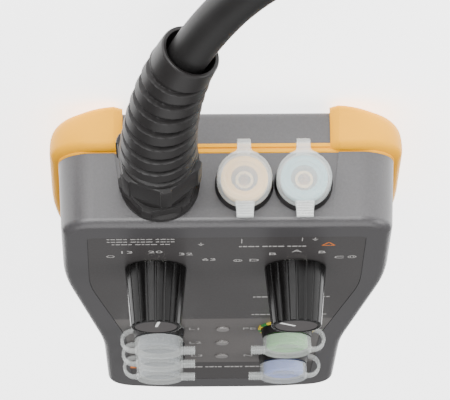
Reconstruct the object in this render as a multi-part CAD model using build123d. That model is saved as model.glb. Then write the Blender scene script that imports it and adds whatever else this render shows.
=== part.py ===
from build123d import *
import os
from math import atan2, cos, radians, sin, tan

# A hand-held charging-point test adapter that lies on its back on a table.
# Row frame: origin at the centre of the back face, +Z out of the front panel,
# +Y towards the end with the cable gland, +X to the right as the panel is read.
# All lengths are millimetres.

# case
case_length = 225.0
case_depth = 41.5        # back plane to front panel
front_bottom = 17.2      # lower edge of the front shell
rear_top = 13.9          # upper edge of the rear shell
rear_back = 3.0          # back of the rear shell, inside the bumpers and the rest pad
wall = 2.6
front_lean = 1.06        # how far the front shell's walls lean in over their height
end_y = case_length / 2
outline_right = [(54.2, end_y), (56.0, 48.0), (45.2, -40.0), (45.2, -107.0), (22.0, -end_y)]
outline_radii = [12.0, 200.0, 200.0, 13.0, 70.0]
end_recess = 0.8         # how far the middle of the gland end is set back
bumper_thick = 3.0
bumper_end_x = 33.5      # inner ends of the corner bumpers
bumper_end_y = 9.0       # where the bumpers stop along the sides

# panel overlay, set into a shallow pocket
label_right = [(45.3, end_y - 14.0), (46.6, 42.0), (35.9, -28.0), (34.7, -95.5)]
label_radii = [2.5, 120.0, 120.0, 4.0]
pocket_depth = 0.5
label_thick = 0.4
label_top = case_depth - pocket_depth + label_thick

# controls
knob_x = 23.5
knob_y = 62.6
knob_height = 20.1
knob_gap = 0.5
shaft_r = 3.0
bush_r = 4.7
button_x = 23.6
button_ys = [36.5, 12.5]
button_r = 4.0
button_travel = 1.2
lamp_ys = [-18.0, -38.0, -58.0]

# sockets: name, place on its face, which face
socket_pitch = 20.0
socket_col = 23.4
front_sockets = {
    "l1": (-socket_col, -18.0), "l2": (-socket_col, -18.0 - socket_pitch),
    "l3": (-socket_col, -18.0 - 2 * socket_pitch),
    "pe": (socket_col, -18.0), "n": (socket_col, -18.0 - 2 * socket_pitch)}
end_socket_z = 28.0
end_sockets = {"signal": 5.5, "signal_earth": 24.5}
line_sockets = ("l1", "l2", "l3")
thread_r = 6.4
collar_r = 9.4
neck_r = 7.5
neck_top = 7.6
contact_bore = 2.0       # takes a 4 mm test plug
contact_top = 5.5
cap_r = 8.83
cap_top = 9.5
cap_skirt = 3.9          # lower edge of the cap above the socket's face
washer = 0.6
hinge_out = 12.0         # bend line of a cap's strap, from the socket's axis
hinge_up = 5.0
strap_w = 4.4

# circuit board
board_z = 14.2
board_thick = 1.6
board_top = board_z + board_thick

# cable gland and lead
gland_x = -21.5
gland_z = 27.5
hex_flat = 24.0          # across flats
cable_r = 6.3
lead_bore = 6.6
nut_end = 131.0          # where the bend relief starts
mouth = (-11.3, 200.5, 15.6)
floor_z = cable_r + 0.05
lead_route = [
    mouth, (0.7, 226.9, 8.1), (31.0, 259.0, floor_z), (34.4, 301.7, floor_z),
    (6.9, 341.0, floor_z), (-40.4, 357.3, floor_z), (-87.0, 342.2, floor_z),
    (-114.6, 304.2, floor_z), (-119.6, 268.6, 8.9), (-120.2, 250.6, 12.7)]

# plug on the lead, in its own frame: +Z from the cable entry to the contact face
plug_length = 112.0
plug_r = 31.0
handle_r = 18.0
handle_start = 24.0
flare_start, flare_r = 76.0, 29.0
plug_flat = 25.5         # flat on the upper side

face_y = end_y - end_recess
inner_roof = case_depth - wall


def post(r, z0, z1, x=0.0, y=0.0):
    return Pos(x, y, (z0 + z1) / 2) * Cylinder(r, z1 - z0)


def block(x0, x1, y0, y1, z0, z1):
    return Pos((x0 + x1) / 2, (y0 + y1) / 2, (z0 + z1) / 2) * Box(x1 - x0, y1 - y0, z1 - z0)


def tube(r_out, r_in, z0, z1, x=0.0, y=0.0):
    return post(r_out, z0, z1, x, y) - post(r_in, z0 - 1, z1 + 1, x, y)


def hexagon(flat, z0, z1, turn=0.0):
    return extrude(Pos(0, 0, z0) * RegularPolygon(flat / 2, 6, major_radius=False, rotation=turn), z1 - z0)


def closed_face(right, radii):
    left = [(-x, y) for x, y in right]
    return make_face(FilletPolyline(*(left + right[::-1]), radius=radii + radii[::-1], close=True))


def case_outline(grow=0.0):
    face = closed_face(outline_right, outline_radii)
    return offset(face, grow) if grow else face


def prism(face, z0, z1):
    return extrude(Pos(0, 0, z0) * face, z1 - z0)


def leaning_prism(grow, z0, z1):
    lean = front_lean * (z1 - z0) / (case_depth - front_bottom)
    return loft([Pos(0, 0, z0) * case_outline(grow), Pos(0, 0, z1) * case_outline(grow - lean)], ruled=True)


def top_loop(solid):
    return solid.faces().sort_by(Axis.Z)[-1].edges()


def bottom_loop(solid):
    return solid.faces().sort_by(Axis.Z)[0].edges()


def along_y(x, y, z):
    """Frame on the gland end: local Z runs out along +Y, local X down towards the back."""
    return Location(Plane(origin=(x, y, z), x_dir=(0, 0, -1), z_dir=(0, 1, 0)))


def socket_places():
    places = {}
    for name, (x, y) in front_sockets.items():
        side = -1 if x < 0 else 1
        places[name] = Location(Plane(origin=(x, y, label_top), x_dir=(side, 0, 0), z_dir=(0, 0, 1)))
    for name, x in end_sockets.items():
        places[name] = along_y(x, face_y, end_socket_z)
    return places


# ---------------------------------------------------------------- case

def end_recess_cutter():
    """Sets the middle of the gland end back, with the same rounded upper edge."""
    edge_r = 3.0
    core = block(-60, 60, 40, face_y, 0, case_depth)
    core = fillet(core.edges().filter_by(Axis.X).group_by(Axis.Z)[-1].sort_by(Axis.Y)[-1:], edge_r)
    slab = block(-50, 50, face_y - 6, end_y + 5, front_bottom - 1, case_depth + 5) - core
    trapezoid = Plane.XZ * make_face(Polyline((-36.2, 16), (36.2, 16), (32.4, 47), (-32.4, 47), close=True))
    return slab & extrude(trapezoid, 200, both=True)


def panel_openings(z0, z1):
    holes = []
    for name, (x, y) in front_sockets.items():
        holes.append(post(thread_r + 0.2, z0, z1, x, y))
    for x in (-knob_x, knob_x):
        holes.append(post(bush_r + 0.2, z0, z1, x, knob_y))
    for y in button_ys:
        holes.append(post(button_r + 0.25, z0, z1, button_x, y))
    for y in lamp_ys:
        holes.append(post(2.6, z0, z1, 0, y))
    return holes


screw_places = [(-43.0, 92.0), (43.0, 92.0), (-36.0, -96.0), (36.0, -96.0)]


def front_shell():
    outer = leaning_prism(0, front_bottom, case_depth)
    outer = fillet(top_loop(outer), 3.0)
    outer -= end_recess_cutter()
    shell = outer - leaning_prism(-wall, front_bottom, inner_roof)
    for x, y in screw_places:
        shell += post(4.2, front_bottom, inner_roof, x, y)
        shell -= post(1.3, front_bottom, inner_roof - 2, x, y)
    shell -= prism(closed_face(label_right, label_radii), case_depth - pocket_depth, case_depth + 1)
    shell -= panel_openings(inner_roof - 1, case_depth + 1)
    for x in end_sockets.values():
        shell -= along_y(x, face_y, end_socket_z) * post(thread_r + 0.2, -6, 3)
    shell -= along_y(gland_x, face_y, gland_z) * post(9.6, -6, 3)
    return shell


def end_bar(grow):
    """Squares off the back edge of the gland end between the bumpers."""
    bar = block(-37, 37, 94, face_y - 0.05 + grow, rear_back - grow, rear_top)
    return fillet(bar.edges().filter_by(Axis.X).group_by(Axis.Z)[0].sort_by(Axis.Y)[-1:], 2.5)


def rear_shell():
    outer = prism(case_outline(), rear_back, rear_top)
    outer = fillet(bottom_loop(outer), 9.0) - block(-36, 36, face_y - 0.05, end_y + 1, 0, 30)
    pad = fillet(block(-30, 30, -70, 70, 0, rear_back + 1).edges().filter_by(Axis.Z), 8.0)
    pad = fillet(bottom_loop(pad), 0.8)
    inner = fillet(bottom_loop(prism(case_outline(-wall), rear_back + wall, rear_top + 1)), 6.4)
    shell = outer + end_bar(0) + pad - inner
    for x, y in screw_places:
        shell += post(4.2, rear_back + wall - 0.5, front_bottom, x, y)
    for x, y in board_posts:
        shell += post(3.0, rear_back + wall - 0.5, board_z, x, y)
        shell -= post(0.9, board_z - 6, board_z + 1, x, y)
    shell -= [post(1.7, -1, front_bottom + 1, x, y) for x, y in screw_places]
    shell -= [post(3.2, -1, 6.5, x, y) for x, y in screw_places]
    return shell


def rim():
    """The coloured band between the shells, with a soft bumper over each corner of the gland end."""
    band = prism(case_outline(0.25), rear_top, front_bottom) - prism(case_outline(-wall), rear_top - 1, front_bottom + 1)
    groove_z = (rear_top + front_bottom) / 2
    band -= prism(case_outline(1.0), groove_z - 0.25, groove_z + 0.25) - prism(case_outline(-0.15), 0, 30)
    band -= block(-36, 36, face_y - 0.05, end_y + 5, 0, 30)
    body = prism(case_outline(bumper_thick), 0, front_bottom - 0.6)
    body = fillet(bottom_loop(body), 12.4)
    body = fillet(top_loop(body), 2.6)
    core = fillet(bottom_loop(prism(case_outline(0.02), rear_back, front_bottom + 1)), 9.0)
    skin = body - core
    slope = bumper_thick - 0.2
    plan = make_face(Polyline(
        (bumper_end_x, end_y - 28), (bumper_end_x, end_y), (bumper_end_x + slope, end_y + bumper_thick),
        (70, end_y + bumper_thick), (70, bumper_end_y + 4), (56.2, bumper_end_y + 4), (52.2, bumper_end_y),
        (47, bumper_end_y), (47, end_y - 28), close=True))
    corner = prism(plan, -1, 30)
    skin = skin & corner
    back_wedge = Plane.XZ * make_face(Polyline(
        (bumper_end_x - 9, -9), (bumper_end_x + slope + 3, -3), (bumper_end_x, rear_back), (bumper_end_x - 9, rear_back),
        close=True))
    skin -= extrude(back_wedge, 200, both=True)
    skin -= end_bar(0.02)
    return band + skin + mirror(skin, Plane.YZ)


def panel_label():
    label = prism(offset(closed_face(label_right, label_radii), -0.15), case_depth - pocket_depth, label_top)
    return label - panel_openings(case_depth - 2, case_depth + 1)


def case_screws():
    screws = []
    for x, y in screw_places:
        head = fillet(post(2.8, 4.0, 6.5, x, y).edges().group_by(Axis.Z)[0], 0.6)
        slot = Pos(x, y, 4.3) * (Box(3.2, 0.7, 1.4) + Box(0.7, 3.2, 1.4))
        screws.append(head + post(1.3, 6.5, 32.0, x, y) - slot)
    return Compound(children=screws)


# ---------------------------------------------------------------- knobs and switches

def grip(side):
    base_z = label_top + knob_gap
    x = side * knob_x
    body = loft([Pos(x, knob_y, base_z) * Circle(10.4), Pos(x, knob_y, base_z + knob_height) * Circle(8.4)])
    body = fillet(body.edges().group_by(Axis.Z)[-1], 0.5)
    flutes = 20
    for i in range(flutes):
        turn = 360 / flutes * i
        flute = Rot(0, -5.7, 0) * Cylinder(0.75, knob_height + 6)
        body -= Pos(x, knob_y, base_z + knob_height / 2 + 1.6) * Rot(0, 0, turn) * Pos(9.75, 0, 0) * flute
    body -= post(8.6, base_z - 1, base_z + 4.6, x, knob_y)
    body -= post(shaft_r + 0.02, base_z, base_z + 15.0, x, knob_y)
    body -= post(7.3, base_z + knob_height - 1.4, base_z + knob_height + 1, x, knob_y)
    return body


def grip_cap(side):
    top = label_top + knob_gap + knob_height
    cap = post(7.2, top - 1.4, top - 0.1, side * knob_x, knob_y)
    cap = fillet(cap.edges().group_by(Axis.Z)[-1], 0.3)
    pointer = pointer_angles[side]
    groove = Rot(0, 0, pointer) * Pos(0, 4.0, 0) * Box(1.0, 7.0, 0.5)
    return cap - Pos(side * knob_x, knob_y, top - 0.1) * groove


pointer_angles = {-1: 0.0, 1: 52.0}     # anticlockwise from +Y: "20" on the left, "D" on the right


def shaft(side):
    rod = post(shaft_r, 26.0, label_top + knob_gap + 14.8, side * knob_x, knob_y)
    return rod


def switch_body(side):
    x = side * knob_x
    roof = inner_roof - 0.05
    body = block(x - 9.5, x + 9.5, knob_y - 9.5, knob_y + 9.5, 30.0, roof)
    body += post(9.0, board_top, 30.0, x, knob_y)
    body += post(bush_r, roof - 0.5, label_top + 4.0, x, knob_y)
    return body - post(shaft_r + 0.06, 25.8, 60, x, knob_y)


def switch_nuts():
    nuts = []
    for side in (-1, 1):
        nut = Pos(side * knob_x, knob_y, 0) * hexagon(13.0, label_top, label_top + 2.2)
        nuts.append(nut - post(bush_r + 0.02, 40, 50, side * knob_x, knob_y))
    return Compound(children=nuts)


def push_button(y):
    top = label_top + 2.0
    cap = fillet(post(button_r, inner_roof - 0.4, top, button_x, y).edges().group_by(Axis.Z)[-1], 1.0)
    cap += post(button_r + 1.0, inner_roof - 1.3, inner_roof - 0.1, button_x, y)
    return cap + post(1.6, tact_top + button_travel + 0.1, inner_roof - 1.2, button_x, y)


tact_top = board_top + 5.0


def tact_switches():
    parts = []
    for y in button_ys:
        body = block(button_x - 3, button_x + 3, y - 3, y + 3, board_top, tact_top - 1.2)
        parts.append(body + post(1.75, tact_top - 1.3, tact_top, button_x, y))
    return Compound(children=parts)


def indicator_lamps():
    lamps = []
    for y in lamp_ys:
        dome = fillet(post(2.5, inner_roof - 0.5, label_top + 0.7, 0, y).edges().group_by(Axis.Z)[-1], 0.6)
        flange = post(3.3, inner_roof - 1.2, inner_roof - 0.05, 0, y)
        lamps.append(dome + flange + post(1.4, board_top, inner_roof - 1.1, 0, y))
    return Compound(children=lamps)


# ---------------------------------------------------------------- sockets

def socket_body():
    outer = Polyline((neck_r - 1.0, neck_top), (neck_r, neck_top - 0.5), (neck_r, 3.7), (8.9, 3.6), (collar_r, washer + 0.4),
                     (collar_r, washer), (thread_r, washer), (thread_r, -14.0), (4.4, -14.0), (4.4, -11.0),
                     (5.6, -11.0), (5.6, neck_top), close=True)
    return revolve(Plane.XZ * make_face(outer), Axis.Z)


def socket_insert():
    """Coloured insulator with the ring-shaped gap that takes the sleeve of a shrouded plug."""
    outline = Polyline((5.55, neck_top - 0.3), (5.55, -10.95), (2.95, -10.95), (2.95, -8.5), (4.3, -8.5),
                       (4.3, neck_top - 0.3), close=True)
    return revolve(Plane.XZ * make_face(outline), Axis.Z)


def socket_contact(tail):
    return post(2.9, -12.5, contact_top) + post(1.2, -tail, -12.4) - post(contact_bore, -11.5, contact_top + 1)


def socket_nut():
    return hexagon(16.0, -wall - 2.6, -wall - 0.2) - post(thread_r + 0.02, -20, 5)


def plug_cap():
    disc = post(cap_r, neck_top + 0.35, cap_top)
    disc = fillet(disc.edges().group_by(Axis.Z)[-1], 0.7)
    skirt = tube(cap_r, neck_r + 0.5, cap_skirt, neck_top + 0.4)
    tab = fillet(block(-13.2, -8.2, -2.6, 2.6, 7.6, 8.9).edges().filter_by(Axis.Z), 0.8)
    for i in range(4):
        tab += block(-12.7 + i, -12.2 + i, -2.5, 2.5, 8.8, 9.25)
    return disc + skirt + tab


def strap():
    """Elastic strap of a cap: a washer under the collar and a band that loops up to the cap."""
    reach = 14.0
    loop = block(7.0, reach, -strap_w / 2, strap_w / 2, 0, 9.1)
    loop = fillet(loop.edges().filter_by(Axis.Y).group_by(Axis.X)[-1], 3.0)
    hole = block(6.0, reach - 1.2, -strap_w, strap_w, washer, 7.95)
    hole = fillet(hole.edges().filter_by(Axis.Y).group_by(Axis.X)[-1], 1.8)
    band = loop - hole - post(cap_r + 0.03, 1, 12)
    return band + post(9.3, 0, washer) - post(thread_r + 0.1, -1, 20)


def earth_ring():
    ring = tube(10.5, 9.55, 0, 0.6)
    return ring - block(5, 15, -strap_w / 2 - 0.1, strap_w / 2 + 0.1, -1, 2)


# ---------------------------------------------------------------- inside

board_posts = [(-30.0, 80.0), (30.0, 80.0), (-30.0, -78.0), (30.0, -78.0)]


def circuit_board():
    board = prism(case_outline(-wall - 3.0), board_z, board_top) & block(-60, 60, -84, 86, 0, 40)
    return board - [post(1.6, 0, 40, x, y) for x, y in board_posts]


def board_screws():
    return Compound(children=[
        post(2.6, board_top, board_top + 1.6, x, y) + post(0.88, board_z - 5.5, board_top + 0.1, x, y)
        for x, y in board_posts])


def wire(points, r, bend):
    path = FilletPolyline(*points, radius=bend)
    start = Plane(origin=path @ 0, z_dir=path % 0)
    return sweep(start * Circle(r), path=path)


def board_wires():
    """Wires from the end sockets and from the lead's cut sheath down to the circuit board."""
    tail_y = face_y - 16.0
    cores = [
        wire([(x, tail_y, end_socket_z), (x, tail_y - 14, end_socket_z), (x, tail_y - 14, board_top)], 0.9, 5.0)
        for x in end_sockets.values()]
    for i, angle in enumerate((234, 306, 18, 162, 90)):     # lowest cores first, so none crosses another
        x, z = gland_x + 3.4 * cos(radians(angle)), gland_z + 3.4 * sin(radians(angle))
        y_end = 84.6 - 2.5 * i
        cores.append(wire([(x, sheath_end, z), (x, y_end, z), (x, y_end, board_top)], 1.15, 4.0))
    return Compound(children=cores)


sheath_end = 98.0

# ---------------------------------------------------------------- gland and lead

def relief_plane(t):
    """Section plane at parameter t of the curve on which the bend relief and the lead inside it run."""
    a, d = Vector(gland_x, nut_end, gland_z), Vector(*mouth)
    aim = (Vector(*lead_route[1]) - d).normalized()
    b, c = a + Vector(0, 24, 0), d - aim * 24
    point = a * (1 - t) ** 3 + b * (3 * t * (1 - t) ** 2) + c * (3 * t * t * (1 - t)) + d * t ** 3
    along = ((b - a) * (3 * (1 - t) ** 2) + (c - b) * (6 * t * (1 - t)) + (d - c) * (3 * t * t)).normalized()
    return Plane(origin=point, x_dir=along.cross(Vector(0, 0, 1)), z_dir=along)


relief_steps = [0.0, 0.2, 0.4, 0.6, 0.8, 1.0]


def tapered(r_start, r_end):
    return loft([relief_plane(t) * Circle(r_start + (r_end - r_start) * t) for t in relief_steps])


def gland_body():
    body = hexagon(hex_flat, 0, 5.5, 40) + post(10.6, 5.4, 7.0) + post(9.3, -11.0, 0.1) + post(8.9, 6.9, 13.0)
    return along_y(gland_x, face_y, gland_z) * (body - post(lead_bore, -20, 20))


def gland_seal():
    return along_y(gland_x, face_y, gland_z) * tube(9.2, cable_r + 0.02, 13.05, 18.0)


def gland_locknut():
    nut = hexagon(22.0, -7.9, -2.9, 30) - post(9.32, -20, 5)
    return along_y(gland_x, face_y, gland_z) * nut


def gland_nut():
    """Domed nut with its long bend relief; a bore runs through both for the lead."""
    nut_z = nut_end - face_y
    nut = hexagon(hex_flat + 0.4, 7.2, 17.6, 12)
    nut += post(11.8, 17.5, nut_z + 0.5)
    place = along_y(gland_x, face_y, gland_z)
    solid = place * nut + tapered(12.1, 9.1)
    solid -= place * (post(9.35, 7.0, 18.2) + post(lead_bore, 10, nut_z + 0.5))
    return solid - tapered(lead_bore + 0.15, lead_bore + 1.2)


def lead_in_gland():
    straight = along_y(gland_x, face_y, gland_z) * post(cable_r, sheath_end - face_y, nut_end - face_y)
    return straight + tapered(cable_r, cable_r)


def turn_radii(points):
    """Arc radius at each corner of a route: 0.45 of the shorter run over the tangent of half the turn."""
    radii = []
    for before, here, after in zip(points, points[1:], points[2:]):
        run_in, run_out = Vector(*here) - Vector(*before), Vector(*after) - Vector(*here)
        shorter = min(run_in.length, run_out.length)
        radii.append(0.45 * shorter / tan(radians(run_in.get_angle(run_out)) / 2))
    return radii


def lead():
    radii = turn_radii(lead_route)
    path = FilletPolyline(*lead_route, radius=radii)
    print("lead radii", [round(r, 1) for r in radii], "length", round(path.length, 1))
    start = Plane(origin=path @ 0, z_dir=path % 0)
    solid = sweep(start * Circle(cable_r), path=path)
    print("lead volume over section times length", round(solid.volume / (3.14159265 * cable_r ** 2 * path.length), 4))
    return solid


# ---------------------------------------------------------------- plug

def plug_place():
    """The plug lies on the rear edge of its handle and the widest part of its flare."""
    before, entry = lead_route[-2], lead_route[-1]
    heading = atan2(entry[1] - before[1], entry[0] - before[0])
    tilt = atan2(flare_r - handle_r, flare_start - handle_start)
    height = handle_r * cos(tilt) - handle_start * sin(tilt) + 0.05
    aim = Vector(cos(heading) * cos(tilt), sin(heading) * cos(tilt), sin(tilt))
    side = Vector(-sin(heading), cos(heading), 0)
    return Location(Plane(origin=(entry[0], entry[1], height), x_dir=side, z_dir=aim))


def plug_boot():
    outline = Polyline((cable_r + 0.1, 0), (8.0, 0), (8.4, 2.0), (11.0, handle_start), (cable_r + 0.1, handle_start), close=True)
    boot = revolve(Plane.XZ * make_face(outline), Axis.Z)
    for i in range(4):
        boot -= tube(12.0, 7.9 + 0.55 * i, 4.0 + 4.6 * i, 5.8 + 4.6 * i)
    return plug_place() * boot


def plug_shell():
    outline = FilletPolyline((0, handle_start), (handle_r, handle_start), (handle_r + 0.6, 52), (flare_r, flare_start),
                             (plug_r, plug_length), (0, plug_length), radius=[3.0, 12.0, 8.0, 1.6])
    shell = revolve(Plane.XZ * make_face(outline + Line((0, plug_length), (0, handle_start))), Axis.Z)
    shell -= post(28.0, 84, plug_length + 1) - block(-40, 40, plug_flat - 2.5, 50, 60, 130)
    shell -= block(-40, 40, plug_flat, 50, 60, 130)
    shell -= post(cable_r + 0.1, handle_start - 1, handle_start + 12)
    return plug_place() * shell


def contact_places():
    """Five power contacts and two small signal contacts, in rows of three, two and two."""
    places = [(x, 2.5, 3.2) for x in (-15.0, 0.0, 15.0)] + [(x, -11.0, 3.2) for x in (-8.5, 8.5)]
    return places + [(x, 14.0, 1.7) for x in (-7.0, 7.0)]


def plug_face():
    face = post(24.5, 88, plug_length - 3) & block(-30, 30, -30, 20.5, 80, 120)
    face += post(27.9, 84, 88.1) & block(-30, 30, -30, plug_flat - 2.6, 80, 120)
    for x, y, r in contact_places():
        face -= post(r + 0.9, 90, plug_length, x, y)
        face -= post(r + 0.02, 83, 91, x, y)
    return plug_place() * face


def plug_pins():
    return Compound(children=[plug_place() * (post(r, 84, 104, x, y) - post(0.6 * r, 92, 105, x, y))
                              for x, y, r in contact_places()])


# ---------------------------------------------------------------- the assembly

def build():
    nodes = {
        "front_shell": front_shell(), "rear_shell": rear_shell(), "rim_bumper": rim(),
        "panel_label": panel_label(), "case_screws": case_screws(), "switch_nuts": switch_nuts(),
        "tact_switches": tact_switches(), "indicator_lamps": indicator_lamps(),
        "circuit_board": circuit_board(), "board_screws": board_screws(),
        "board_wires": board_wires()}
    for side, name in ((-1, "current"), (1, "state")):
        nodes[name + "_knob"] = grip(side)
        nodes[name + "_knob_cap"] = grip_cap(side)
        nodes[name + "_shaft"] = shaft(side)
        nodes[name + "_switch"] = switch_body(side)
    for name, y in zip(("signal_fault_button", "earth_fault_button"), button_ys):
        nodes[name] = push_button(y)
    contacts, nuts, line_inserts = [], [], []
    front_tail = label_top - board_top
    for name, place in socket_places().items():
        nodes["socket_" + name] = place * socket_body()
        if name in line_sockets:
            line_inserts.append(place * socket_insert())
        else:
            nodes["insert_" + name] = place * socket_insert()
        nodes["cap_" + name] = place * plug_cap()
        nodes["strap_" + name] = place * strap()
        contacts.append(place * socket_contact(16.0 if name in end_sockets else front_tail))
        nuts.append(place * socket_nut())
    nodes["socket_contacts"] = Compound(children=contacts)
    nodes["socket_nuts"] = Compound(children=nuts)
    nodes["insert_lines"] = Compound(children=line_inserts)
    nodes["earth_ring"] = socket_places()["pe"] * earth_ring()
    nodes["gland_body"] = gland_body()
    nodes["gland_seal"] = gland_seal()
    nodes["gland_locknut"] = gland_locknut()
    nodes["gland_nut"] = gland_nut()
    nodes["lead_in_gland"] = lead_in_gland()
    nodes["lead"] = lead()
    nodes["plug_boot"] = plug_boot()
    nodes["plug_shell"] = plug_shell()
    nodes["plug_face"] = plug_face()
    nodes["plug_pins"] = plug_pins()
    return nodes


parts = build()
os.makedirs("parts", exist_ok=True)
for node, shape in parts.items():
    shape.label = node
    export_step(shape, "parts/" + node + ".step")
print(len(parts), "nodes written")
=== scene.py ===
import math

import bmesh
import bpy
from mathutils import Matrix, Vector


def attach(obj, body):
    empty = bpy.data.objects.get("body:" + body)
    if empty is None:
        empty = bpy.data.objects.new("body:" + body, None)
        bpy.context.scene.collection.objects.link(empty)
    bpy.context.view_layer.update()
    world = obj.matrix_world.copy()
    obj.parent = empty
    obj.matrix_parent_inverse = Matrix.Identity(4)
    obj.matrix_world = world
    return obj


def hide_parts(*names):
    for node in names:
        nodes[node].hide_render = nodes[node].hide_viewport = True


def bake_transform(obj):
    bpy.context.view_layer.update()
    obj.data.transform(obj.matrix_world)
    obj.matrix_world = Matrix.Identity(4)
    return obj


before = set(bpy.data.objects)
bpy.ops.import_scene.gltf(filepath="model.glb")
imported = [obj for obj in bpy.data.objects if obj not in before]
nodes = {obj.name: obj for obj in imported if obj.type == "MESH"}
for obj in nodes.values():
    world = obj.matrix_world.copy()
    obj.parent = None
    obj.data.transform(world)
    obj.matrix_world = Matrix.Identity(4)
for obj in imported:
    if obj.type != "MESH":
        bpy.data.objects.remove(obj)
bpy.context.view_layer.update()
mm = 0.001

# the case's own measures, in millimetres, the same as in the CAD

case = {
    "endY": 112.5, "faceY": 111.7, "labelTop": 41.4,
    "outline": [(54.2, 112.5), (56.0, 48.0), (45.2, -40.0), (45.2, -107.0), (22.0, -112.5)],
    "radii": [12.0, 200.0, 200.0, 13.0, 70.0],
}
frontSockets = {
    "l1": (-23.4, -18.0), "l2": (-23.4, -38.0), "l3": (-23.4, -58.0),
    "pe": (23.4, -18.0), "n": (23.4, -58.0),
}
endSockets = {"signal": 5.5, "signal_earth": 24.5}
endSocketZ = 28.0
glandAxis = (-21.5, 27.5)       # x and z of the gland's axis
mouth = Vector((-11.3, 200.5, 15.6))


# camera

camera = {
    "place": (-0.01332, 0.91523, 0.28606), "lens": 210.7, "sensor": 36.0,
    "right": (0.99986, 0.01219, 0.01120), "up": (0.00702, 0.30053, -0.95375), "back": (-0.01500, 0.95370, 0.30040),
}


def setCamera():
    data = bpy.data.cameras.new("camera")
    data.lens, data.sensor_width = camera["lens"], camera["sensor"]
    data.clip_start, data.clip_end = 0.02, 20.0
    obj = bpy.data.objects.new("camera", data)
    bpy.context.scene.collection.objects.link(obj)
    turn = Matrix((camera["right"], camera["up"], camera["back"])).transposed().to_4x4()
    obj.matrix_world = Matrix.Translation(camera["place"]) @ turn
    bpy.context.scene.camera = obj


setCamera()
print("camera set")


# node trees, shared by finishes and by geometry

class Link:
    def __init__(self, tree, socket):
        self.tree, self.socket = tree, socket

    def both(self, operation, first, second):
        return self.tree.node("ShaderNodeMath", {"operation": operation}, {0: first, 1: second})

    def __add__(self, other):
        return self.both("ADD", self, other)

    def __radd__(self, other):
        return self.both("ADD", other, self)

    def __sub__(self, other):
        return self.both("SUBTRACT", self, other)

    def __rsub__(self, other):
        return self.both("SUBTRACT", other, self)

    def __mul__(self, other):
        return self.both("MULTIPLY", self, other)

    def __rmul__(self, other):
        return self.both("MULTIPLY", other, self)

    def __truediv__(self, other):
        return self.both("DIVIDE", self, other)

    def __rtruediv__(self, other):
        return self.both("DIVIDE", other, self)

    def __neg__(self):
        return self.both("SUBTRACT", 0.0, self)

    def __gt__(self, other):
        return self.both("GREATER_THAN", self, other)

    def __lt__(self, other):
        return self.both("LESS_THAN", self, other)

    def one(self, operation):
        return self.tree.node("ShaderNodeMath", {"operation": operation}, {0: self})

    def clamp(self):
        return self.tree.node("ShaderNodeClamp", {}, {0: self})


class Tree:
    def __init__(self, tree):
        self.tree = tree

    def feed(self, socket, value):
        if isinstance(value, Link):
            self.tree.links.new(value.socket, socket)
        else:
            socket.default_value = value

    def node(self, kind, settings=None, inputs=None, output=0):
        made = self.tree.nodes.new(kind)
        for key, value in (settings or {}).items():
            if key == "stops":
                while len(made.color_ramp.elements) < len(value):
                    made.color_ramp.elements.new(1.0)
                for stop, (place, colour) in zip(made.color_ramp.elements, value):
                    stop.position, stop.color = place, colour
            else:
                setattr(made, key, value)
        for key, value in (inputs or {}).items():
            self.feed(made.inputs[key], value)
        return Link(self, made.outputs[output])

    def xyz(self, vector):
        split = self.node("ShaderNodeSeparateXYZ", {}, {0: vector})
        outs = split.socket.node.outputs
        return [Link(self, outs[i]) for i in range(3)]


class Finish(Tree):
    def __init__(self, name, colour, rough, **fixed):
        self.material = bpy.data.materials.new(name)
        self.material.use_nodes = True
        super().__init__(self.material.node_tree)
        self.shader = self.tree.nodes["Principled BSDF"]
        self.shader.inputs["Base Color"].default_value = (*colour, 1.0)
        self.shader.inputs["Roughness"].default_value = rough
        for key, value in fixed.items():
            self.shader.inputs[key.replace("_", " ")].default_value = value
        self.place = self.node("ShaderNodeTexCoord", {}, {}, 3)

    def noise(self, scale, detail=2.0, roughness=0.5):
        return self.node("ShaderNodeTexNoise", {}, {
            "Vector": self.place, "Scale": scale, "Detail": detail, "Roughness": roughness})

    def mix(self, factor, first, second):
        return self.node("ShaderNodeMix", {"data_type": "RGBA"}, {0: factor, 6: first, 7: second}, 2)

    def tint(self, link):
        self.feed(self.shader.inputs["Base Color"], link)

    def gloss(self, link):
        self.feed(self.shader.inputs["Roughness"], link)

    def bump(self, height, distance, strength):
        made = self.node("ShaderNodeBump", {}, {"Height": height, "Distance": distance, "Strength": strength})
        self.feed(self.shader.inputs["Normal"], made)


def rgb(colour, times):
    return (*[min(1.0, part * times) for part in colour], 1.0)


def moulded(name, colour, rough, grain=1600.0, depth=0.03, vary=0.10, **fixed):
    # moulded plastic: fine spark grain, soft patches of handling
    f = Finish(name, colour, rough, **fixed)
    fine = f.noise(grain, 3.0, 0.6)
    soft = f.noise(38.0, 3.0, 0.55)
    f.tint(f.mix(fine * 0.5 + soft * 0.5, rgb(colour, 1 - vary), rgb(colour, 1 + vary)))
    f.gloss((soft * 0.16 + fine * 0.10 + (rough - 0.13)).clamp())
    f.bump(fine, depth * mm, 0.5)
    return f.material


def makeCasePlastic():
    colour = (0.040, 0.038, 0.040)
    f = Finish("casePlastic", colour, 0.46, Specular_IOR_Level=0.6)
    grain = f.noise(1350.0, 2.0, 0.65)
    pits = f.node("ShaderNodeTexVoronoi", {"feature": "F1"}, {"Vector": f.place, "Scale": 1900.0})
    soft = f.noise(22.0, 4.0, 0.6)
    speck = (grain * 1.7 - 0.35).clamp()
    f.tint(f.mix(speck * 0.75 + soft * 0.25, rgb(colour, 0.74), rgb(colour, 1.34)))
    f.gloss((0.28 + soft * 0.12 + grain * 0.12).clamp())
    f.bump(grain * 0.7 + pits * 0.3, 0.05 * mm, 0.6)
    return f.material


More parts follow.
